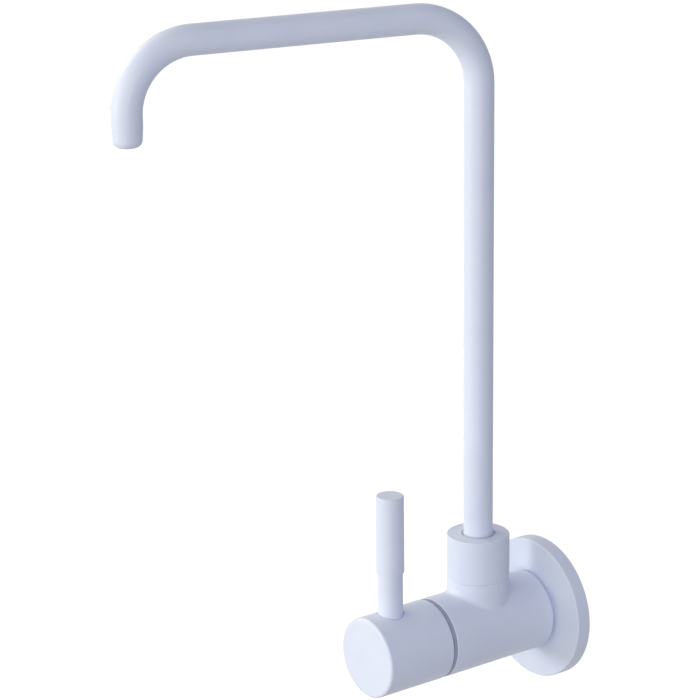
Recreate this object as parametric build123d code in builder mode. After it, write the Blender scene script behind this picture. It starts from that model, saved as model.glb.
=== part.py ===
from build123d import *
import math
import os

# Wall-mounted drinking-water faucet: a level ceramic valve with a turning lever, under a tall swivel spout.
#
# The origin is the centre of the flange's back face, on the inlet axis. +Y runs into the wall, -Y comes out
# towards the user, +Z is up and +X is the user's right. A "distance" is measured from the wall towards the
# user and a "height" upwards from the inlet axis. Everything is in millimetres. Threads are modelled at
# their crest size, and a squeezed O-ring at the size that its groove leaves it.

# Clearances
running_gap = 0.04
film_gap = 0.02
seal_gap = 0.02
thread_gap = 0.03
press_gap = 0.01
loose_gap = 0.3
cut_overshoot = 1.0

# One size of O-ring seals the whole faucet
seal_section_radius = 0.73
seal_groove_width = 1.9

# Wall flange and the gasket behind it
flange_radius = 31.6
flange_thickness = 6.7
flange_plate = 2.0
flange_rim_wall = 2.0
flange_boss_wall = 2.2
flange_boss_recess = 0.6
flange_edge_round = 0.7
flange_bore_play = 0.32
gasket_width = 5.0

# Inlet nipple with its half-inch pipe thread
inlet_thread_radius = 10.478
inlet_thread_pitch = 1.814
inlet_thread_depth = 1.162
inlet_thread_crest = 0.3
inlet_thread_turns = 8
inlet_thread_chamfer = 1.0
inlet_thread_start = 1.0
inlet_bore_radius = 5.0
inlet_socket_across_flats = 12.0
inlet_socket_depth = 9.0
nipple_shoulder_radius = 10.2
nipple_shoulder_length = 2.0
nipple_screw_radius = 9.0
nipple_screw_length = 11.3
nipple_washer_thickness = 1.5
nipple_washer_lip = 0.5

# Valve body
body_wall = 5.6
body_edge_round = 0.4
back_step_length = 2.2
back_step_depth = 2.4
waterway_radius = 4.0
riser_distance = 37.4
neck_height = 23.0
neck_root_round = 2.4
seam_edge = 0.5
socket_floor_wall = 1.6
port_radius = 1.9
port_rise = 0.15
port_wall = 1.66
spigot_wall = 3.1
spigot_length = 9.0

# Ceramic cartridge, from its seat outwards
cavity_play = 0.7
cartridge_shell_wall = 0.85
disc_radius = 8.2
disc_play = 0.15
seat_seal_thickness = 2.2
seat_seal_width = 1.8
seat_seal_gap = 0.15
fixed_disc_thickness = 2.6
moving_disc_thickness = 2.6
disc_key_width = 3.0
disc_key_play = 0.1
window_inner_radius = 2.2
window_outer_radius = 6.2
window_spread = 80.0
port_spread = 84.0
tongue_width = 3.2
tongue_depth = 1.2
tongue_play = 0.05
driver_thickness = 2.2
driver_gap = 0.05
lug_height = 0.9
lug_spread = 30.0
lug_angle = 225.0
stop_play_degrees = 1.0
handle_turn_degrees = 90.0
cartridge_screw_wall = 0.8
cartridge_screw_length = 5.54
cartridge_flange_overhang = 1.97
cartridge_flange_sink = 1.7
cartridge_flange_thickness = 1.95
cartridge_hex_across_flats = 20.0
cartridge_hex_length = 4.0
cartridge_seal_setback = 1.2

# Spindle
spindle_radius = 5.0
spindle_nose = 0.64
spindle_seal_first = 2.3
spindle_seal_pitch = 4.0
spline_radius = 3.95
spline_depth = 0.45
spline_teeth = 20
spline_length = 12.7
slip_washer_thickness = 0.6
slip_washer_width = 2.3
clip_thickness = 0.8
clip_groove_depth = 0.7
clip_width = 2.6
clip_opening = 60.0

# Handle hub
groove_width = 2.1
groove_ring_gap = 0.3
groove_ring_width = 3.4
front_spigot_wall = 1.95
front_spigot_length = 1.5
hub_length = 33.95
hub_front_round = 1.2
hub_back_round = 0.3
hub_cavity_depth = 8.4
hub_cavity_play = 0.2
insert_wall = 2.8
insert_setback = 0.2
insert_front_wall = 2.0
grub_screw_radius = 2.5
grub_screw_distance = 5.15
grub_screw_sink = 1.0
grub_socket_across_flats = 2.5
grub_socket_depth = 2.2

# Lever
lever_from_front = 13.1
lever_stem_radius = 5.35
lever_grip_radius = 6.0
lever_step_height = 36.4
lever_top_height = 70.9
lever_top_round = 0.6
lever_step_round = 0.2
lever_seat_depth = 4.5
lever_seat_edge = 0.6
stud_radius = 3.0
stud_grip_in_hub = 5.4
stud_grip_in_lever = 9.0
stud_end_play = 0.4
stud_socket_across_flats = 3.0
stud_socket_depth = 3.0

# Spout
tube_radius = 6.35
tube_wall = 1.0
arm_height = 270.2
spout_reach = 154.3
riser_bend_radius = 29.4
outlet_bend_radius = 27.8
outlet_drop = 40.3
spout_rest_degrees = -12.6
tip_length = 8.0
tip_taper = 0.35
tip_round = 3.0

# Spout foot and the collar nut that holds it
solder_gap = 0.02
ferrule_wall = 2.22
ferrule_flange_width = 2.2
ferrule_flange_thickness = 2.2
ferrule_lip = 2.0
water_chamber_height = 7.0
ferrule_seal_first = 5.0
ferrule_seal_pitch = 7.0
spout_washer_thickness = 0.8
nut_wall = 1.9
nut_length = 19.7
nut_lip = 0.8
nut_mouth_play = 1.1
nut_edge_round = 0.5
bush_wall = 1.9

# Radii that follow from what fits inside what
seal_room = 2 * (seal_section_radius + seal_gap)
flange_bore_radius = inlet_thread_radius + flange_bore_play
nipple_neck_radius = flange_bore_radius - seal_room
ferrule_radius = tube_radius + solder_gap + ferrule_wall
socket_radius = ferrule_radius + running_gap
spigot_radius = socket_radius + spigot_wall
nut_bore_radius = spigot_radius + thread_gap
collar_radius = nut_bore_radius + nut_wall
ferrule_flange_radius = ferrule_radius + ferrule_flange_width
bush_radius = tube_radius + running_gap + bush_wall
nut_mouth_radius = tube_radius + nut_mouth_play
disc_chamber_radius = disc_radius + disc_play
shell_radius = disc_chamber_radius + cartridge_shell_wall
cavity_radius = shell_radius + cavity_play
screw_radius = shell_radius + cartridge_screw_wall
driver_radius = disc_radius - disc_play
lug_radius = driver_radius + lug_height
stop_pocket_radius = lug_radius + disc_play
spindle_bore_radius = spindle_radius + running_gap
cartridge_flange_radius = screw_radius + cartridge_flange_overhang
counterbore_radius = cartridge_flange_radius + thread_gap
body_radius = counterbore_radius + body_wall
front_spigot_radius = counterbore_radius + front_spigot_wall
hub_cavity_radius = front_spigot_radius + hub_cavity_play
insert_radius = spline_radius + insert_wall

# Distances from the wall, along the inlet axis
body_back = flange_thickness
nipple_end = body_back + nipple_screw_length
waterway_start = nipple_end + nipple_washer_thickness
seat_distance = riser_distance + socket_radius + port_wall
fixed_disc_back = seat_distance + seat_seal_thickness
moving_disc_back = fixed_disc_back + fixed_disc_thickness + film_gap
moving_disc_front = moving_disc_back + moving_disc_thickness
driver_back = moving_disc_front + driver_gap
driver_front = driver_back + driver_thickness
spindle_shoulder = driver_front + driver_gap
screw_start = moving_disc_front + loose_gap
flange_seat = screw_start + cartridge_screw_length
body_front = flange_seat + cartridge_flange_sink
hex_start = flange_seat + cartridge_flange_thickness
cartridge_front = hex_start + cartridge_hex_length
slip_washer_back = cartridge_front + film_gap
clip_back = slip_washer_back + slip_washer_thickness + film_gap
clip_front = clip_back + clip_thickness
spline_start = clip_front + spindle_nose
spindle_end = spline_start + spline_length
hub_back = body_front + groove_width
hub_front = hub_back + hub_length
cavity_front = hub_back + hub_cavity_depth
insert_back = cavity_front + insert_setback
insert_front = spindle_end + insert_front_wall
grub_distance = insert_back + grub_screw_distance
lever_distance = hub_front - lever_from_front
inlet_thread_length = inlet_thread_pitch * inlet_thread_turns
inlet_end = inlet_thread_start + inlet_thread_length

# Heights above the inlet axis, at the riser
socket_floor = waterway_radius + socket_floor_wall
port_height = disc_chamber_radius + port_rise + port_radius
ferrule_bottom = socket_floor + water_chamber_height
spigot_top = neck_height + spigot_length
ferrule_flange_bottom = spigot_top + spout_washer_thickness + film_gap
ferrule_flange_top = ferrule_flange_bottom + ferrule_flange_thickness
upper_washer_bottom = ferrule_flange_top + film_gap
nut_shoulder = upper_washer_bottom + spout_washer_thickness + film_gap
nut_top = neck_height + nut_length
lever_seat_height = body_radius - lever_seat_depth
stud_bottom = lever_seat_height - stud_grip_in_hub
stud_top = lever_seat_height + stud_grip_in_lever


def out_from_wall(distance):
    """Plane that faces the user, centred on the inlet axis."""
    return Plane.XZ.offset(distance)


def up_riser(height):
    """Level plane, centred on the riser axis."""
    return Plane(origin=(0, -riser_distance, height))


def up_lever(height):
    """Level plane, centred on the lever axis."""
    return Plane(origin=(0, -lever_distance, height))


def column(plane, radius, length, mode=Mode.ADD):
    """Round bar, or with Mode.SUBTRACT a round hole, that rises from a plane."""
    with BuildSketch(plane) as face:
        Circle(radius)
    extrude(face.sketch, amount=length, mode=mode)


def flat_ring(plane, outer, inner, thickness, mode=Mode.ADD):
    """Ring with flat faces that rises from a plane."""
    with BuildSketch(plane) as face:
        Circle(outer)
        Circle(inner, mode=Mode.SUBTRACT)
    extrude(face.sketch, amount=thickness, mode=mode)


def hexagon(plane, across_flats, length, mode=Mode.ADD):
    """Hexagonal bar or socket that rises from a plane."""
    with BuildSketch(plane) as face:
        RegularPolygon(radius=across_flats / 2, side_count=6, major_radius=False)
    extrude(face.sketch, amount=length, mode=mode)


def sector(inner, outer, centre, spread):
    """Face of part of a flat ring about the origin, with its angles in degrees."""
    with BuildSketch() as face:
        with BuildLine():
            rim = CenterArc((0, 0), outer, centre - spread / 2, spread)
            bore = CenterArc((0, 0), inner, centre - spread / 2, spread)
            Line(rim @ 0, bore @ 0)
            Line(rim @ 1, bore @ 1)
        make_face()
    return face.sketch


def spline_outline(tip):
    """Corner points of the spindle's spline, or of its socket, from tooth tip to tooth root and on."""
    points = []
    for step in range(2 * spline_teeth):
        radius = tip if step % 2 == 0 else tip - spline_depth
        angle = math.pi * step / spline_teeth
        points.append((radius * math.cos(angle), radius * math.sin(angle)))
    return points


def groove_for_seal(plane, bore_radius, shaft_radius):
    """Square groove round a shaft, centred on a plane, with room for a squeezed O-ring in the bore."""
    flat_ring(
        plane.offset(-seal_groove_width / 2),
        shaft_radius + cut_overshoot,
        bore_radius - seal_room,
        seal_groove_width,
        mode=Mode.SUBTRACT,
    )


def seal_in(bore_radius):
    """O-ring that fills the room between its groove and a bore."""
    Torus(bore_radius - seal_gap - seal_section_radius, seal_section_radius)


os.makedirs("parts", exist_ok=True)

# Wall flange: a round cup with a flat face, open to the wall, with a boss round its bore
with BuildPart() as wall_flange:
    flat_ring(out_from_wall(0), flange_radius, flange_bore_radius, flange_thickness)
    front_rim = wall_flange.edges().filter_by(GeomType.CIRCLE).sort_by(SortBy.RADIUS)[-2:]
    fillet(front_rim.sort_by(Axis.Y)[0], radius=flange_edge_round)
    flat_ring(
        out_from_wall(0),
        flange_radius - flange_rim_wall,
        flange_bore_radius + flange_boss_wall,
        flange_thickness - flange_plate,
        mode=Mode.SUBTRACT,
    )
    flat_ring(
        out_from_wall(0),
        flange_bore_radius + flange_boss_wall,
        flange_bore_radius,
        flange_boss_recess,
        mode=Mode.SUBTRACT,
    )
wall_flange.part.label = "wall_flange"
export_step(wall_flange.part, "parts/wall_flange.step")

# Foam gasket: lines the rim of the cup and meets the wall with it
with BuildPart() as flange_gasket:
    gasket_radius = flange_radius - flange_rim_wall - press_gap
    flat_ring(
        out_from_wall(0),
        gasket_radius,
        gasket_radius - gasket_width,
        flange_thickness - flange_plate,
    )
flange_gasket.part.label = "flange_gasket"
export_step(flange_gasket.part, "parts/flange_gasket.step")

# Flange O-ring: grips the nipple, so that the loose flange stays against the body
flange_seal_distance = (flange_boss_recess + flange_thickness - nipple_shoulder_length) / 2
with BuildPart(out_from_wall(flange_seal_distance)) as flange_oring:
    seal_in(flange_bore_radius)
flange_oring.part.label = "flange_oring"
export_step(flange_oring.part, "parts/flange_oring.step")

# Inlet nipple: screws into the body, and carries the thread that goes into the wall fitting
with BuildPart() as inlet_nipple:
    column(out_from_wall(body_back), nipple_screw_radius, nipple_screw_length)
    column(
        out_from_wall(body_back - nipple_shoulder_length),
        nipple_shoulder_radius,
        nipple_shoulder_length,
    )
    column(out_from_wall(-inlet_thread_start), nipple_neck_radius, inlet_thread_start + body_back)
    column(out_from_wall(-inlet_end), inlet_thread_radius, inlet_thread_length)
    end_rim = inlet_nipple.edges().filter_by(GeomType.CIRCLE).sort_by(Axis.Y)[-1]
    chamfer(end_rim, length=inlet_thread_chamfer)
    with BuildSketch(Plane.YZ) as thread_grooves:
        with Locations((inlet_end - inlet_thread_length / 2, inlet_thread_radius)):
            with GridLocations(inlet_thread_pitch, 0, inlet_thread_turns, 1):
                half_groove = (inlet_thread_pitch - inlet_thread_crest) / 2
                Polygon((-half_groove, 0), (0, -inlet_thread_depth), (half_groove, 0), align=None)
    revolve(axis=Axis.Y, mode=Mode.SUBTRACT)
    column(out_from_wall(-inlet_end), inlet_bore_radius, inlet_end + nipple_end, mode=Mode.SUBTRACT)
    hexagon(out_from_wall(-inlet_end), inlet_socket_across_flats, inlet_socket_depth, mode=Mode.SUBTRACT)
inlet_nipple.part.label = "inlet_nipple"
export_step(inlet_nipple.part, "parts/inlet_nipple.step")

# Nipple washer: seals the nipple's end against the shoulder inside the body
with BuildPart() as nipple_washer:
    flat_ring(
        out_from_wall(nipple_end),
        nipple_screw_radius,
        inlet_bore_radius + nipple_washer_lip,
        nipple_washer_thickness,
    )
nipple_washer.part.label = "nipple_washer"
export_step(nipple_washer.part, "parts/nipple_washer.step")

# Valve body: barrel and neck in one casting, bored for the inlet, the cartridge and the spout
with BuildPart() as valve_body:
    barrel_back = body_back + back_step_length
    column(out_from_wall(barrel_back), body_radius, body_front - barrel_back)
    column(up_riser(0), collar_radius, neck_height)
    curved_edges = valve_body.edges().filter_by(GeomType.LINE, reverse=True)
    neck_root = curved_edges.filter_by(GeomType.CIRCLE, reverse=True)
    fillet(neck_root, radius=neck_root_round)
    neck_rim = valve_body.edges().filter_by(GeomType.CIRCLE).sort_by(Axis.Z)[-1]
    chamfer(neck_rim, length=seam_edge)
    body_rims = valve_body.edges().filter_by(GeomType.CIRCLE).sort_by(Axis.Y)
    fillet([body_rims[0], body_rims[-1]], radius=body_edge_round)
    column(out_from_wall(body_back), body_radius - back_step_depth, back_step_length)
    column(out_from_wall(body_front), front_spigot_radius, front_spigot_length)
    column(up_riser(neck_height), spigot_radius, spigot_length)
    spigot_rim = valve_body.edges().filter_by(GeomType.CIRCLE).sort_by(Axis.Z)[-1]
    chamfer(spigot_rim, length=seam_edge)
    # Inlet side
    column(
        out_from_wall(body_back),
        nipple_screw_radius + thread_gap,
        waterway_start - body_back,
        mode=Mode.SUBTRACT,
    )
    column(
        out_from_wall(waterway_start),
        waterway_radius,
        seat_distance - waterway_start,
        mode=Mode.SUBTRACT,
    )
    # Cartridge side
    column(
        out_from_wall(seat_distance),
        cavity_radius,
        screw_start - seat_distance,
        mode=Mode.SUBTRACT,
    )
    column(
        out_from_wall(screw_start),
        screw_radius + thread_gap,
        flange_seat - screw_start,
        mode=Mode.SUBTRACT,
    )
    column(
        out_from_wall(flange_seat),
        counterbore_radius,
        body_front + front_spigot_length - flange_seat,
        mode=Mode.SUBTRACT,
    )
    # Spout side, and the port that feeds it: a bore above the seat, then a channel in the cavity's wall
    column(up_riser(socket_floor), socket_radius, spigot_top - socket_floor, mode=Mode.SUBTRACT)
    with BuildSketch(out_from_wall(riser_distance)):
        with Locations((0, port_height)):
            Circle(port_radius)
    extrude(amount=moving_disc_front - riser_distance, mode=Mode.SUBTRACT)
valve_body.part.label = "valve_body"
export_step(valve_body.part, "parts/valve_body.step")

# Cartridge housing: the brass shell of the ceramic valve, which screws into the front of the body
with BuildPart() as cartridge_housing:
    housing_back = seat_distance + loose_gap
    column(out_from_wall(housing_back), shell_radius, screw_start - housing_back)
    column(out_from_wall(screw_start), screw_radius, flange_seat - screw_start)
    column(out_from_wall(flange_seat), cartridge_flange_radius, cartridge_flange_thickness)
    hexagon(out_from_wall(hex_start), cartridge_hex_across_flats, cartridge_hex_length)
    cartridge_seal_distance = flange_seat - cartridge_seal_setback
    groove_for_seal(out_from_wall(cartridge_seal_distance), screw_radius + thread_gap, screw_radius)
    column(
        out_from_wall(housing_back),
        disc_chamber_radius,
        spindle_shoulder - housing_back,
        mode=Mode.SUBTRACT,
    )
    column(
        out_from_wall(spindle_shoulder),
        spindle_bore_radius,
        cartridge_front - spindle_shoulder,
        mode=Mode.SUBTRACT,
    )
    # Two slots that key the fixed disc
    with BuildSketch(out_from_wall(housing_back)):
        Rectangle(disc_key_width + 2 * disc_key_play, 2 * cavity_radius)
    extrude(amount=moving_disc_back - housing_back, mode=Mode.SUBTRACT)
    # Two side windows, level with the moving disc, that let the water out into the body
    with BuildSketch(out_from_wall(moving_disc_back)):
        for window_centre in (0, 180):
            add(sector(window_inner_radius, cavity_radius, window_centre, port_spread))
    extrude(amount=screw_start - moving_disc_back, mode=Mode.SUBTRACT)
    # Pocket whose two ends stop the spindle's lug
    with BuildSketch(out_from_wall(driver_back)):
        add(
            sector(
                window_outer_radius,
                stop_pocket_radius,
                lug_angle + handle_turn_degrees / 2,
                handle_turn_degrees + lug_spread + 2 * stop_play_degrees,
            )
        )
    extrude(amount=spindle_shoulder - driver_back, mode=Mode.SUBTRACT)
cartridge_housing.part.label = "cartridge_housing"
export_step(cartridge_housing.part, "parts/cartridge_housing.step")

# Cartridge O-ring: seals the housing in the body's bore, behind its flange
with BuildPart(out_from_wall(cartridge_seal_distance)) as cartridge_oring:
    seal_in(screw_radius + thread_gap)
cartridge_oring.part.label = "cartridge_oring"
export_step(cartridge_oring.part, "parts/cartridge_oring.step")

# Seat seal: rubber ring between the body's seat and the fixed disc
with BuildPart() as seat_seal:
    seat_seal_radius = disc_chamber_radius - seat_seal_gap
    flat_ring(
        out_from_wall(seat_distance),
        seat_seal_radius,
        seat_seal_radius - seat_seal_width,
        seat_seal_thickness,
    )
seat_seal.part.label = "seat_seal"
export_step(seat_seal.part, "parts/seat_seal.step")

# Fixed ceramic disc: two windows, and two keys that stop it turning in the housing
with BuildPart() as fixed_disc:
    with BuildSketch(out_from_wall(fixed_disc_back)):
        Circle(disc_radius)
        Rectangle(disc_key_width, 2 * shell_radius)
        for window_centre in (0, 180):
            add(
                sector(window_inner_radius, window_outer_radius, window_centre, window_spread),
                mode=Mode.SUBTRACT,
            )
    extrude(amount=fixed_disc_thickness)
fixed_disc.part.label = "fixed_disc"
export_step(fixed_disc.part, "parts/fixed_disc.step")

# Moving ceramic disc: covers the windows while the lever points up, and has a slot for the spindle's tongue
with BuildPart() as moving_disc:
    with BuildSketch(out_from_wall(moving_disc_back)):
        Circle(disc_radius)
        for window_centre in (90, 270):
            add(
                sector(window_inner_radius, disc_radius + cut_overshoot, window_centre, window_spread),
                mode=Mode.SUBTRACT,
            )
    extrude(amount=moving_disc_thickness)
    with BuildSketch(out_from_wall(moving_disc_front)):
        Rectangle(2 * disc_chamber_radius, tongue_width + 2 * tongue_play)
    extrude(amount=-tongue_depth - tongue_play, mode=Mode.SUBTRACT)
moving_disc.part.label = "moving_disc"
export_step(moving_disc.part, "parts/moving_disc.step")

# Spindle: driver plate with its tongue and stop lug, sealed shaft, clip groove and splined end
with BuildPart() as spindle:
    with BuildSketch(out_from_wall(driver_back)):
        Circle(driver_radius)
        add(sector(window_outer_radius, lug_radius, lug_angle, lug_spread))
    extrude(amount=driver_thickness)
    with BuildSketch(out_from_wall(driver_back)):
        Circle(driver_radius)
        Rectangle(2 * lug_radius, tongue_width, mode=Mode.INTERSECT)
    extrude(amount=-tongue_depth)
    column(out_from_wall(driver_front), spindle_radius, spline_start - driver_front)
    spindle_seal_distances = (
        spindle_shoulder + spindle_seal_first,
        spindle_shoulder + spindle_seal_first + spindle_seal_pitch,
    )
    for seal_distance in spindle_seal_distances:
        groove_for_seal(out_from_wall(seal_distance), spindle_bore_radius, spindle_radius)
    clip_inner_radius = spindle_radius - clip_groove_depth
    flat_ring(
        out_from_wall(clip_back - film_gap),
        spindle_radius + cut_overshoot,
        clip_inner_radius,
        clip_thickness + 2 * film_gap,
        mode=Mode.SUBTRACT,
    )
    with BuildSketch(out_from_wall(spline_start)):
        Polygon(*spline_outline(spline_radius), align=None)
    extrude(amount=spline_length)
spindle.part.label = "spindle"
export_step(spindle.part, "parts/spindle.step")

# Spindle O-rings: two, in the grooves of the shaft
with BuildPart() as spindle_orings:
    for seal_distance in spindle_seal_distances:
        with Locations(out_from_wall(seal_distance)):
            seal_in(spindle_bore_radius)
spindle_orings.part.label = "spindle_orings"
export_step(spindle_orings.part, "parts/spindle_orings.step")

# Slip washer: plastic ring that the clip slides on
with BuildPart() as spindle_washer:
    flat_ring(
        out_from_wall(slip_washer_back),
        spindle_bore_radius + slip_washer_width,
        spindle_bore_radius,
        slip_washer_thickness,
    )
spindle_washer.part.label = "spindle_washer"
export_step(spindle_washer.part, "parts/spindle_washer.step")

# Spindle clip: open spring ring that keeps the spindle in its housing
with BuildPart() as spindle_clip:
    clip_bore_radius = clip_inner_radius + press_gap
    with BuildSketch(out_from_wall(clip_back)):
        add(sector(clip_bore_radius, clip_bore_radius + clip_width, 90, 360 - clip_opening))
    extrude(amount=clip_thickness)
spindle_clip.part.label = "spindle_clip"
export_step(spindle_clip.part, "parts/spindle_clip.step")

# Groove ring: plastic ring in the gap between the body and the turning hub
with BuildPart() as groove_ring:
    groove_ring_bore = front_spigot_radius + press_gap
    flat_ring(
        out_from_wall(body_front),
        groove_ring_bore + groove_ring_width,
        groove_ring_bore,
        groove_width - groove_ring_gap,
    )
groove_ring.part.label = "groove_ring"
export_step(groove_ring.part, "parts/groove_ring.step")

# Handle hub: the round knob that turns with the lever
with BuildPart() as handle_hub:
    column(out_from_wall(hub_back), body_radius, hub_length)
    hub_rims = handle_hub.edges().filter_by(GeomType.CIRCLE).sort_by(Axis.Y)
    fillet(hub_rims[0], radius=hub_front_round)
    fillet(hub_rims[-1], radius=hub_back_round)
    column(out_from_wall(hub_back), hub_cavity_radius, hub_cavity_depth, mode=Mode.SUBTRACT)
    column(
        out_from_wall(cavity_front),
        insert_radius + press_gap,
        insert_front - cavity_front + loose_gap,
        mode=Mode.SUBTRACT,
    )
    column(up_lever(lever_seat_height), lever_stem_radius + press_gap, body_radius, mode=Mode.SUBTRACT)
    curved_edges = handle_hub.edges().filter_by(GeomType.LINE, reverse=True)
    lever_seat_rim = curved_edges.filter_by(GeomType.CIRCLE, reverse=True)
    chamfer(lever_seat_rim, length=lever_seat_edge)
    column(
        up_lever(stud_bottom - stud_end_play),
        stud_radius + thread_gap,
        body_radius,
        mode=Mode.SUBTRACT,
    )
    with BuildSketch(Plane(origin=(0, -grub_distance, -body_radius))):
        Circle(grub_screw_radius + thread_gap)
    extrude(amount=body_radius, mode=Mode.SUBTRACT)
handle_hub.part.label = "handle_hub"
export_step(handle_hub.part, "parts/handle_hub.step")

# Spline insert: moulded socket inside the hub that takes the spindle's spline
with BuildPart() as spline_insert:
    column(out_from_wall(insert_back), insert_radius, insert_front - insert_back)
    with BuildSketch(out_from_wall(insert_back)):
        Polygon(*spline_outline(spline_radius + running_gap), align=None)
    extrude(amount=spindle_end + loose_gap - insert_back, mode=Mode.SUBTRACT)
    with BuildSketch(Plane(origin=(0, -grub_distance, -body_radius))):
        Circle(grub_screw_radius + thread_gap)
    extrude(amount=body_radius, mode=Mode.SUBTRACT)
spline_insert.part.label = "spline_insert"
export_step(spline_insert.part, "parts/spline_insert.step")

# Grub screw: under the hub, screwed up against the spline
with BuildPart() as hub_grub_screw:
    grub_bottom = grub_screw_sink - body_radius
    grub_length = body_radius - grub_screw_sink - spline_radius - press_gap
    column(Plane(origin=(0, -grub_distance, grub_bottom)), grub_screw_radius, grub_length)
    hexagon(
        Plane(origin=(0, -grub_distance, grub_bottom)),
        grub_socket_across_flats,
        grub_socket_depth,
        mode=Mode.SUBTRACT,
    )
hub_grub_screw.part.label = "hub_grub_screw"
export_step(hub_grub_screw.part, "parts/hub_grub_screw.step")

# Lever: one turned bar, with a thicker grip above a plain stem that seats in the hub
with BuildPart() as lever:
    column(up_lever(lever_seat_height), lever_stem_radius, lever_step_height - lever_seat_height)
    column(up_lever(lever_step_height), lever_grip_radius, lever_top_height - lever_step_height)
    grip_rims = lever.edges().filter_by(GeomType.CIRCLE).sort_by(SortBy.RADIUS)[-2:]
    fillet(grip_rims.sort_by(Axis.Z)[-1], radius=lever_top_round)
    fillet(grip_rims.sort_by(Axis.Z)[0], radius=lever_step_round)
    column(
        up_lever(lever_seat_height),
        stud_radius + thread_gap,
        stud_grip_in_lever + stud_end_play,
        mode=Mode.SUBTRACT,
    )
lever.part.label = "lever"
export_step(lever.part, "parts/lever.step")

# Lever stud: headless screw that joins the lever to the hub
with BuildPart() as lever_stud:
    column(up_lever(stud_bottom), stud_radius, stud_top - stud_bottom)
    hexagon(up_lever(stud_top), stud_socket_across_flats, -stud_socket_depth, mode=Mode.SUBTRACT)
lever_stud.part.label = "lever_stud"
export_step(lever_stud.part, "parts/lever_stud.step")

# Spout nut: the collar that screws over the body's spigot and holds the spout's foot down
with BuildPart() as spout_nut:
    column(up_riser(neck_height), collar_radius, nut_length)
    nut_rims = spout_nut.edges().filter_by(GeomType.CIRCLE).sort_by(Axis.Z)
    fillet(nut_rims[-1], radius=nut_edge_round)
    chamfer(nut_rims[0], length=seam_edge)
    column(up_riser(neck_height), nut_bore_radius, nut_shoulder - neck_height, mode=Mode.SUBTRACT)
    column(
        up_riser(nut_shoulder),
        bush_radius + press_gap,
        nut_top - nut_lip - nut_shoulder,
        mode=Mode.SUBTRACT,
    )
    column(up_riser(nut_top - nut_lip), nut_mouth_radius, nut_lip, mode=Mode.SUBTRACT)
spout_nut.part.label = "spout_nut"
export_step(spout_nut.part, "parts/spout_nut.step")

# Guide bush: plastic sleeve in the nut that steadies the riser
with BuildPart() as guide_bush:
    flat_ring(
        up_riser(nut_shoulder),
        bush_radius,
        tube_radius + running_gap,
        nut_top - nut_lip - nut_shoulder - film_gap,
    )
guide_bush.part.label = "guide_bush"
export_step(guide_bush.part, "parts/guide_bush.step")

# Spout washers: one under and one over the foot's flange
with BuildPart() as spout_washers:
    for washer_bottom in (spigot_top, upper_washer_bottom):
        flat_ring(
            up_riser(washer_bottom),
            ferrule_flange_radius,
            ferrule_radius + running_gap,
            spout_washer_thickness,
        )
spout_washers.part.label = "spout_washers"
export_step(spout_washers.part, "parts/spout_washers.step")

# Spout ferrule: brass foot soldered round the tube, with two seal grooves and the flange that holds it
with BuildPart() as spout_ferrule:
    column(up_riser(ferrule_bottom), ferrule_radius, ferrule_flange_top - ferrule_bottom)
    column(up_riser(ferrule_flange_bottom), ferrule_flange_radius, ferrule_flange_thickness)
    ferrule_seal_heights = (
        ferrule_bottom + ferrule_seal_first,
        ferrule_bottom + ferrule_seal_first + ferrule_seal_pitch,
    )
    for seal_height in ferrule_seal_heights:
        groove_for_seal(up_riser(seal_height), socket_radius, ferrule_radius)
    column(up_riser(ferrule_bottom), tube_radius - tube_wall, ferrule_lip, mode=Mode.SUBTRACT)
    column(
        up_riser(ferrule_bottom + ferrule_lip),
        tube_radius + solder_gap,
        ferrule_flange_top - ferrule_bottom,
        mode=Mode.SUBTRACT,
    )
spout_ferrule.part.label = "spout_ferrule"
export_step(spout_ferrule.part, "parts/spout_ferrule.step")

# Spout O-rings: two, in the grooves of the foot
with BuildPart() as spout_orings:
    for seal_height in ferrule_seal_heights:
        with Locations(up_riser(seal_height)):
            seal_in(socket_radius)
spout_orings.part.label = "spout_orings"
export_step(spout_orings.part, "parts/spout_orings.step")

# Spout tube: riser, level arm and short drop in one bent tube, with its end rounded in to a small mouth
tube_start = ferrule_bottom + ferrule_lip
outlet_height = arm_height - outlet_drop
tip_start = outlet_height + tip_length
spout_outwards = Vector(0, -1, 0).rotate(Axis.Z, spout_rest_degrees)
spout_sideways = spout_outwards.cross(Vector(0, 0, 1))
riser_foot = Vector(0, -riser_distance, 0)
riser_plane = Plane(origin=riser_foot, x_dir=spout_outwards, z_dir=spout_sideways)
drop_foot = riser_foot + spout_outwards * spout_reach
drop_plane = Plane(origin=drop_foot, x_dir=spout_outwards, z_dir=spout_sideways)
with BuildPart() as spout_tube:
    with BuildLine(riser_plane):
        FilletPolyline(
            (0, tube_start),
            (0, arm_height),
            (spout_reach, arm_height),
            (spout_reach, tip_start),
            radius=[riser_bend_radius, outlet_bend_radius],
        )
    with BuildSketch(up_riser(tube_start)):
        Circle(tube_radius)
        Circle(tube_radius - tube_wall, mode=Mode.SUBTRACT)
    sweep()
    shoulder_radius = tube_radius - tip_taper
    mouth_radius = shoulder_radius - tip_round
    round_start = outlet_height + tip_round
    with BuildSketch(drop_plane):
        with BuildLine():
            Line((tube_radius - tube_wall, tip_start), (tube_radius, tip_start))
            Line((tube_radius, tip_start), (shoulder_radius, round_start))
            CenterArc((mouth_radius, round_start), tip_round, 0, -90)
            Line((mouth_radius, outlet_height), (mouth_radius, outlet_height + tube_wall))
            CenterArc((mouth_radius, round_start), tip_round - tube_wall, 0, -90)
            Line((shoulder_radius - tube_wall, round_start), (tube_radius - tube_wall, tip_start))
        make_face()
    revolve(axis=Axis(drop_plane.origin, (0, 0, 1)))
spout_tube.part.label = "spout_tube"
export_step(spout_tube.part, "parts/spout_tube.step")
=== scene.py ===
import math
import bpy
from mathutils import Matrix, Vector


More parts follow.
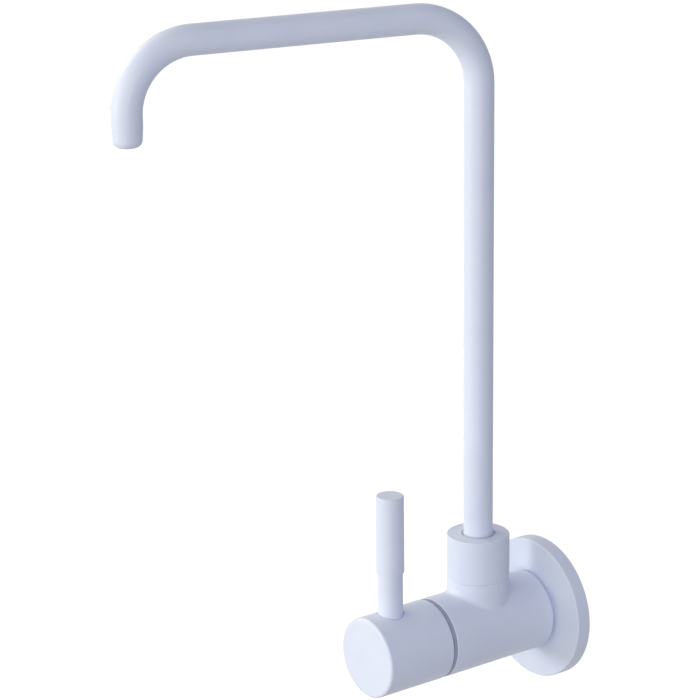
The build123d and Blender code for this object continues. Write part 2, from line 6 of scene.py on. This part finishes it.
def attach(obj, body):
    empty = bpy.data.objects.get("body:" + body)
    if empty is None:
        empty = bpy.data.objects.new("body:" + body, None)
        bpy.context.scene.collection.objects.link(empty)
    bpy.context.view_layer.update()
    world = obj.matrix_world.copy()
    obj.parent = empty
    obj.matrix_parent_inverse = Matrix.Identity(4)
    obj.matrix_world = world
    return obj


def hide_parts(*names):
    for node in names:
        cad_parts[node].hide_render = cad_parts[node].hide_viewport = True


# Looks of a wall-mounted drinking-water faucet. Everything is in metres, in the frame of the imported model:
# +Y runs into the wall, -Y comes out towards the user, +Z is up and +X is the user's right.

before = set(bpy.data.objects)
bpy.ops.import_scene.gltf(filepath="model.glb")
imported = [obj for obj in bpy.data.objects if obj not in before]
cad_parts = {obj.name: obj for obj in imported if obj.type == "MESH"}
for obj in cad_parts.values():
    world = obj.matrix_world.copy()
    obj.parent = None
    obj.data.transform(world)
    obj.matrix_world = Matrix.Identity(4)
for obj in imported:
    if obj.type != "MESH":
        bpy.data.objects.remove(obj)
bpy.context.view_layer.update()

# Camera, at the photograph's viewing angle
CAMERA_PLACE = Vector((0.86373, -0.74750, 0.46938))
CAMERA_AZIMUTH = math.radians(53.378)
CAMERA_PITCH = math.radians(17.074)
CAMERA_ROLL = math.radians(-0.683)
CAMERA_LENS_MM = 141.26
CAMERA_SENSOR_MM = 36.0
CAMERA_CLIP_START = 0.01
CAMERA_CLIP_END = 100

# Light. Each lamp is a disc that faces the target. Its azimuth is 0 straight in front of the faucet, and
# positive to the faucet's right. Angles are in degrees and power is in watts.
AMBIENT_COLOUR = (0.98, 1.0, 1.23)
AMBIENT_STRENGTH = 0.334
BACKGROUND_STRENGTH = 1.0
LIGHT_TARGET = Vector((0.0, -0.06, 0.08))
LAMPS = {
    "key": dict(azimuth=-26, elevation=2, distance=3.0, size=0.70, power=27.6, colour=(1.0, 0.99, 0.98)),
    "front": dict(azimuth=2, elevation=24, distance=2.0, size=3.5, power=20.5, colour=(1.0, 0.95, 0.71)),
    "left": dict(azimuth=-70, elevation=32, distance=1.5, size=0.8, power=7.3, colour=(1.0, 0.97, 0.66)),
    "right": dict(azimuth=55, elevation=0, distance=1.5, size=0.8, power=6.2, colour=(0.98, 0.99, 1.0)),
}

# Floor
FLOOR_HEIGHT = -0.6
FLOOR_SIZE = 40.0
FLOOR_COLOUR = (0.4, 0.4, 0.4)
FLOOR_LIFT = 0.9

# Materials. A size is about what one blotch, grain or cell measures, and a depth is how far its bump stands up.
NOISE_USUAL_LOW = 0.3
NOISE_USUAL_HIGH = 0.7
TONE_DETAIL = 3
PAINT_TONE_SIZE = 0.018
PAINT_SPECULAR = 0.35
PAINT_ROUGHNESS = (0.41, 0.47)
PAINT_ROUGHNESS_SIZE = 0.006
ORANGE_PEEL_SIZE = 0.0016
ORANGE_PEEL_DEPTH = 0.000012
TARNISH_SIZE = 0.004
TARNISH_DETAIL = 4
METAL_ROUGHNESS_SIZE = 0.0012
TOOL_RING_SCALE = 2400.0
TOOL_RING_DISTORTION = 0.6
TOOL_RING_DETAIL = 2.0
TOOL_RING_DEPTH = 0.000004
STEEL_ROUGHNESS = (0.22, 0.34)
BRASS_ROUGHNESS = (0.24, 0.36)
MOULDED_TONE_SIZE = 0.003
MOULDED_ROUGHNESS_SIZE = 0.001
FOAM_CELLS_PER_METRE = 1400.0
FOAM_CELL_DEPTH = 0.0003
FOAM_ROUGHNESS = 0.9

# Inlet nipple, which gets its real helical threads here. THREAD_FLAT_SHARE is how much of a thread's rise its
# crest and its root each cut off flat.
INLET_THREAD_RADIUS = 0.010478
INLET_THREAD_DEPTH = 0.001162
INLET_THREAD_PITCH = 0.001814
INLET_THREAD_START = 0.0010
INLET_THREAD_END = 0.015512
INLET_THREAD_CHAMFER = 0.0010
INLET_BORE_RADIUS = 0.0050
INLET_SOCKET_FLATS = 0.0120
INLET_SOCKET_DEPTH = 0.0090
NIPPLE_NECK_RADIUS = 0.009298
NIPPLE_SHOULDER_RADIUS = 0.0102
NIPPLE_SHOULDER_BACK = -0.0047
NIPPLE_SHOULDER_FRONT = -0.0067
NIPPLE_SCREW_RADIUS = 0.0090
NIPPLE_SCREW_END = -0.0180
NIPPLE_SCREW_DEPTH = 0.0007
NIPPLE_SCREW_PITCH = 0.0015
THREAD_FLAT_SHARE = 0.075
THREAD_RINGS_PER_TURN = 14
RING_STEPS = 144
SHARP_EDGE_ANGLE = math.radians(35)


def linear(red, green, blue):
    """Linear colour of an 8-bit screen colour."""
    return tuple(
        part / 12.92 if part <= 0.04045 else ((part + 0.055) / 1.055) ** 2.4
        for part in (red / 255, green / 255, blue / 255)
    )


def add_camera():
    back = Vector(
        (
            math.sin(CAMERA_AZIMUTH) * math.cos(CAMERA_PITCH),
            -math.cos(CAMERA_AZIMUTH) * math.cos(CAMERA_PITCH),
            math.sin(CAMERA_PITCH),
        )
    )
    level_right = Vector((math.cos(CAMERA_AZIMUTH), math.sin(CAMERA_AZIMUTH), 0))
    level_up = back.cross(level_right)
    right = math.cos(CAMERA_ROLL) * level_right + math.sin(CAMERA_ROLL) * level_up
    up = math.cos(CAMERA_ROLL) * level_up - math.sin(CAMERA_ROLL) * level_right
    data = bpy.data.cameras.new("camera")
    data.sensor_width = CAMERA_SENSOR_MM
    data.lens = CAMERA_LENS_MM
    data.clip_start = CAMERA_CLIP_START
    data.clip_end = CAMERA_CLIP_END
    camera = bpy.data.objects.new("camera", data)
    turn = Matrix((right, up, back)).transposed().to_4x4()
    camera.matrix_world = Matrix.Translation(CAMERA_PLACE) @ turn
    bpy.context.scene.collection.objects.link(camera)
    bpy.context.scene.camera = camera


def add_node(tree, kind, inputs=None, **settings):
    """New shader node. inputs gives a value or another node's socket for each input, by name or number."""
    made = tree.nodes.new(kind)
    for name, value in settings.items():
        setattr(made, name, value)
    for name, value in (inputs or {}).items():
        if isinstance(value, bpy.types.NodeSocket):
            tree.links.new(value, made.inputs[name])
        else:
            made.inputs[name].default_value = value
    return made


def seen_directly(tree):
    """1 for a ray that the camera sees, straight, mirrored or through glass, and 0 for one that only lights."""
    path = add_node(tree, "ShaderNodeLightPath")
    mirrored = add_node(
        tree,
        "ShaderNodeMath",
        {0: path.outputs["Is Camera Ray"], 1: path.outputs["Is Glossy Ray"]},
        operation="MAXIMUM",
    )
    through = add_node(
        tree,
        "ShaderNodeMath",
        {0: mirrored.outputs[0], 1: path.outputs["Is Transmission Ray"]},
        operation="MAXIMUM",
    )
    return through.outputs[0]


def add_world():
    world = bpy.data.worlds.new("studio")
    world.use_nodes = True
    tree = world.node_tree
    tree.nodes.clear()
    ambient = add_node(
        tree, "ShaderNodeBackground", {"Color": (*AMBIENT_COLOUR, 1), "Strength": AMBIENT_STRENGTH}
    )
    white = add_node(tree, "ShaderNodeBackground", {"Color": (1, 1, 1, 1), "Strength": BACKGROUND_STRENGTH})
    mix = add_node(
        tree, "ShaderNodeMixShader", {0: seen_directly(tree), 1: ambient.outputs[0], 2: white.outputs[0]}
    )
    add_node(tree, "ShaderNodeOutputWorld", {"Surface": mix.outputs[0]})
    bpy.context.scene.world = world


def add_lamp(name, azimuth, elevation, distance, size, power, colour):
    side, rise = math.radians(azimuth), math.radians(elevation)
    level = distance * math.cos(rise)
    place = LIGHT_TARGET + Vector((level * math.sin(side), -level * math.cos(side), distance * math.sin(rise)))
    data = bpy.data.lights.new(name, "AREA")
    data.shape = "DISK"
    data.size = size
    data.energy = power
    data.color = colour
    light = bpy.data.objects.new(name, data)
    light.location = place
    light.rotation_mode = "QUATERNION"
    light.rotation_quaternion = (LIGHT_TARGET - place).to_track_quat("-Z", "Y")
    bpy.context.scene.collection.objects.link(light)


def add_floor():
    """Floor that shows pale, with the object's shadow, and lights the object only as its own matt colour."""
    half = FLOOR_SIZE / 2
    mesh = bpy.data.meshes.new("floor")
    corners = [(-half, -half, FLOOR_HEIGHT), (half, -half, FLOOR_HEIGHT)]
    corners += [(half, half, FLOOR_HEIGHT), (-half, half, FLOOR_HEIGHT)]
    mesh.from_pydata(corners, [], [(0, 1, 2, 3)])
    floor = bpy.data.objects.new("floor", mesh)
    bpy.context.scene.collection.objects.link(floor)
    material = bpy.data.materials.new("floor")
    material.use_nodes = True
    tree = material.node_tree
    tree.nodes.clear()
    matt = add_node(tree, "ShaderNodeBsdfDiffuse", {"Color": (*FLOOR_COLOUR, 1)})
    lift = add_node(tree, "ShaderNodeEmission", {"Color": (1, 1, 1, 1), "Strength": FLOOR_LIFT})
    lifted = add_node(tree, "ShaderNodeAddShader", {0: matt.outputs[0], 1: lift.outputs[0]})
    mix = add_node(
        tree, "ShaderNodeMixShader", {0: seen_directly(tree), 1: matt.outputs[0], 2: lifted.outputs[0]}
    )
    add_node(tree, "ShaderNodeOutputMaterial", {"Surface": mix.outputs[0]})
    mesh.materials.append(material)


def new_material(name):
    material = bpy.data.materials.new(name)
    material.use_nodes = True
    return material, material.node_tree, material.node_tree.nodes["Principled BSDF"]


def noise(tree, size, detail=2.0):
    """Noise from 0 to 1 whose blotches are about size metres across."""
    place = add_node(tree, "ShaderNodeTexCoord")
    made = add_node(
        tree,
        "ShaderNodeTexNoise",
        {"Vector": place.outputs["Object"], "Scale": 1 / size, "Detail": detail},
    )
    return made.outputs[0]


def blend_colours(tree, share, first, second):
    """The first colour where share is 0 and the second where it is 1. Sockets 6, 7 and 2 are the colour ones."""
    made = add_node(tree, "ShaderNodeMix", data_type="RGBA")
    tree.links.new(share, made.inputs[0])
    made.inputs[6].default_value = (*first, 1)
    made.inputs[7].default_value = (*second, 1)
    return made.outputs[2]


def spread(tree, value, low, high):
    """A noise value, spread from low to high over the range that it mostly lies in."""
    made = add_node(
        tree,
        "ShaderNodeMapRange",
        {
            "Value": value,
            "From Min": NOISE_USUAL_LOW,
            "From Max": NOISE_USUAL_HIGH,
            "To Min": low,
            "To Max": high,
        },
    )
    return made.outputs[0]


def bump(tree, shader, height, depth):
    """Bump on the shader: height from 0 to 1 stands for depth metres."""
    made = add_node(tree, "ShaderNodeBump", {"Height": height, "Distance": depth, "Strength": 1.0})
    tree.links.new(made.outputs[0], shader.inputs["Normal"])


def mottle(tree, shader, size, detail, light_tone, deep_tone):
    """Base colour that goes between two tones in blotches of a size."""
    tone = blend_colours(tree, spread(tree, noise(tree, size, detail), 0, 1), light_tone, deep_tone)
    tree.links.new(tone, shader.inputs["Base Color"])


def vary_roughness(tree, shader, size, roughness):
    """Roughness that goes between its low and high value in blotches of a size."""
    low, high = roughness
    tree.links.new(spread(tree, noise(tree, size), low, high), shader.inputs["Roughness"])


def paint_material():
    """Smooth satin-gloss white coating with a faint orange peel."""
    material, tree, shader = new_material("white_paint")
    mottle(tree, shader, PAINT_TONE_SIZE, TONE_DETAIL, linear(222, 229, 246), linear(218, 225, 244))
    shader.inputs["Specular IOR Level"].default_value = PAINT_SPECULAR
    vary_roughness(tree, shader, PAINT_ROUGHNESS_SIZE, PAINT_ROUGHNESS)
    bump(tree, shader, noise(tree, ORANGE_PEEL_SIZE), ORANGE_PEEL_DEPTH)
    return material


def turned_metal(name, axis, light_tone, deep_tone, roughness):
    """Bare metal with fine tool rings round the axis, and a little tarnish."""
    material, tree, shader = new_material(name)
    shader.inputs["Metallic"].default_value = 1.0
    mottle(tree, shader, TARNISH_SIZE, TARNISH_DETAIL, light_tone, deep_tone)
    place = add_node(tree, "ShaderNodeTexCoord")
    rings = add_node(
        tree,
        "ShaderNodeTexWave",
        {
            "Vector": place.outputs["Object"],
            "Scale": TOOL_RING_SCALE,
            "Distortion": TOOL_RING_DISTORTION,
            "Detail": TOOL_RING_DETAIL,
        },
        bands_direction=axis,
    )
    vary_roughness(tree, shader, METAL_ROUGHNESS_SIZE, roughness)
    bump(tree, shader, rings.outputs["Fac"], TOOL_RING_DEPTH)
    return material


def moulded_material(name, light_tone, deep_tone, roughness, grain, depth):
    """Moulded rubber, plastic or fired ceramic: a mottled tone and a fine grain."""
    material, tree, shader = new_material(name)
    mottle(tree, shader, MOULDED_TONE_SIZE, TONE_DETAIL, light_tone, deep_tone)
    vary_roughness(tree, shader, MOULDED_ROUGHNESS_SIZE, roughness)
    bump(tree, shader, noise(tree, grain), depth)
    return material


def foam_material():
    """Closed-cell foam, with its small cells cut open."""
    material, tree, shader = new_material("foam")
    place = add_node(tree, "ShaderNodeTexCoord")
    cells = add_node(
        tree, "ShaderNodeTexVoronoi", {"Vector": place.outputs["Object"], "Scale": FOAM_CELLS_PER_METRE}
    )
    height = cells.outputs["Distance"]
    tone = blend_colours(tree, height, linear(176, 178, 184), linear(214, 215, 219))
    tree.links.new(tone, shader.inputs["Base Color"])
    shader.inputs["Roughness"].default_value = FOAM_ROUGHNESS
    bump(tree, shader, height, FOAM_CELL_DEPTH)
    return material


def dress(material, nodes):
    """Gives CAD nodes a material, in the slots that they already have."""
    for name in nodes:
        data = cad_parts[name].data
        if not data.materials:
            data.materials.append(material)
        for index in range(len(data.materials)):
            data.materials[index] = material


def whitworth(turn):
    """Depth of a rounded V thread, from 0 at its crest to 1 at its root, at a turn's fraction."""
    ramp = abs(2 * (turn % 1.0) - 1)
    flank = (1 + 2 * THREAD_FLAT_SHARE) * ramp - THREAD_FLAT_SHARE
    return 0.5 - 0.5 * math.cos(math.pi * min(1.0, max(0.0, flank)))


def hexagon_radius(angle, across_flats):
    """Distance from a hexagon's centre to its side, at an angle."""
    sixth = math.pi / 3
    return across_flats / 2 / math.cos((angle + sixth / 2) % sixth - sixth / 2)


def ring_surface(name, rings, material, body, node):
    """Closed skin in a CAD node's place, through rings about the Y axis: (place, radius at an angle) each."""
    vertices = []
    for place, radius_at in rings:
        for step in range(RING_STEPS):
            angle = 2 * math.pi * step / RING_STEPS
            radius = radius_at(angle)
            vertices.append((radius * math.cos(angle), place, radius * math.sin(angle)))
    faces = []
    for ring in range(len(rings)):
        here = ring * RING_STEPS
        following = (ring + 1) % len(rings) * RING_STEPS
        for step in range(RING_STEPS):
            beside = (step + 1) % RING_STEPS
            faces.append((here + step, here + beside, following + beside, following + step))
    mesh = bpy.data.meshes.new(name)
    mesh.from_pydata(vertices, [], faces)
    mesh.validate()
    for face in mesh.polygons:
        face.use_smooth = True
    mesh.set_sharp_from_angle(angle=SHARP_EDGE_ANGLE)
    mesh.materials.append(material)
    piece = bpy.data.objects.new(name, mesh)
    bpy.context.scene.collection.objects.link(piece)
    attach(piece, body)
    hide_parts(node)


def thread_rings(start, end, radius, depth, pitch, chamfer_start, chamfer_end):
    """Rings of a helical thread from start to a higher end along Y, with a 45-degree chamfer at each end."""
    count = round((end - start) / pitch * THREAD_RINGS_PER_TURN)

    def ring(place):
        cut = max(chamfer_start - (place - start), chamfer_end - (end - place), 0.0)

        def radius_at(angle):
            groove = depth * whitworth(place / pitch - angle / (2 * math.pi))
            return min(radius - groove, radius - cut)

        return place, radius_at

    return [ring(start + (end - start) * step / count) for step in range(count + 1)]


def add_inlet_nipple(material):
    """Inlet nipple with its pipe thread, hexagon socket and bore."""

    def round_ring(place, radius):
        return place, lambda angle: radius

    def hexagon_ring(place):
        return place, lambda angle: hexagon_radius(angle, INLET_SOCKET_FLATS)

    socket_floor = INLET_THREAD_END - INLET_SOCKET_DEPTH
    rings = [
        round_ring(NIPPLE_SHOULDER_BACK, NIPPLE_NECK_RADIUS),
        round_ring(INLET_THREAD_START, NIPPLE_NECK_RADIUS),
    ]
    rings += thread_rings(
        INLET_THREAD_START,
        INLET_THREAD_END,
        INLET_THREAD_RADIUS,
        INLET_THREAD_DEPTH,
        INLET_THREAD_PITCH,
        chamfer_start=INLET_THREAD_RADIUS - NIPPLE_NECK_RADIUS,
        chamfer_end=INLET_THREAD_CHAMFER,
    )
    rings += [
        hexagon_ring(INLET_THREAD_END),
        hexagon_ring(socket_floor),
        round_ring(socket_floor, INLET_BORE_RADIUS),
        round_ring(NIPPLE_SCREW_END, INLET_BORE_RADIUS),
    ]
    rings += thread_rings(
        NIPPLE_SCREW_END,
        NIPPLE_SHOULDER_FRONT,
        NIPPLE_SCREW_RADIUS,
        NIPPLE_SCREW_DEPTH,
        NIPPLE_SCREW_PITCH,
        chamfer_start=NIPPLE_SCREW_DEPTH,
        chamfer_end=0.0,
    )
    rings += [
        round_ring(NIPPLE_SHOULDER_FRONT, NIPPLE_SHOULDER_RADIUS),
        round_ring(NIPPLE_SHOULDER_BACK, NIPPLE_SHOULDER_RADIUS),
    ]
    ring_surface("inlet_nipple_threaded", rings, material, "valve", "inlet_nipple")


add_camera()
add_world()
add_floor()
for lamp, settings in LAMPS.items():
    add_lamp(lamp, **settings)
bpy.context.scene.view_settings.view_transform = "Standard"

white_paint = paint_material()
stainless = turned_metal("stainless", "Y", linear(206, 205, 202), linear(188, 187, 184), STEEL_ROUGHNESS)
brass_tones = linear(221, 189, 122), linear(204, 168, 98)
brass_along = turned_metal("brass_along_inlet", "Y", *brass_tones, BRASS_ROUGHNESS)
brass_upright = turned_metal("brass_upright", "Z", *brass_tones, BRASS_ROUGHNESS)
rubber = moulded_material(
    "rubber",
    linear(34, 34, 36),
    linear(26, 26, 28),
    roughness=(0.5, 0.62),
    grain=0.0004,
    depth=0.00001,
)
natural_plastic = moulded_material(
    "natural_plastic",
    linear(232, 230, 222),
    linear(222, 219, 209),
    roughness=(0.42, 0.52),
    grain=0.0008,
    depth=0.00001,
)
# Blue-grey plastic for the ring in the groove between knob and body. Its tone is made dark to paint the groove's
# shade.
grey_plastic = moulded_material(
    "grey_plastic",
    linear(158, 166, 190),
    linear(150, 158, 182),
    roughness=(0.5, 0.6),
    grain=0.0006,
    depth=0.00001,
)
ceramic = moulded_material(
    "ceramic",
    linear(238, 237, 231),
    linear(231, 230, 224),
    roughness=(0.12, 0.2),
    grain=0.0005,
    depth=0.000002,
)

dress(white_paint, ["valve_body", "wall_flange", "handle_hub", "lever", "spout_nut", "spout_tube"])
dress(brass_along, ["cartridge_housing", "spindle"])
dress(brass_upright, ["spout_ferrule"])
dress(stainless, ["inlet_nipple", "spindle_clip", "hub_grub_screw", "lever_stud"])
dress(rubber, ["flange_oring", "nipple_washer", "cartridge_oring"])
dress(rubber, ["seat_seal", "spindle_orings", "spout_orings"])
dress(natural_plastic, ["spline_insert", "guide_bush", "spout_washers", "spindle_washer"])
dress(grey_plastic, ["groove_ring"])
dress(ceramic, ["fixed_disc", "moving_disc"])
dress(foam_material(), ["flange_gasket"])

add_inlet_nipple(stainless)
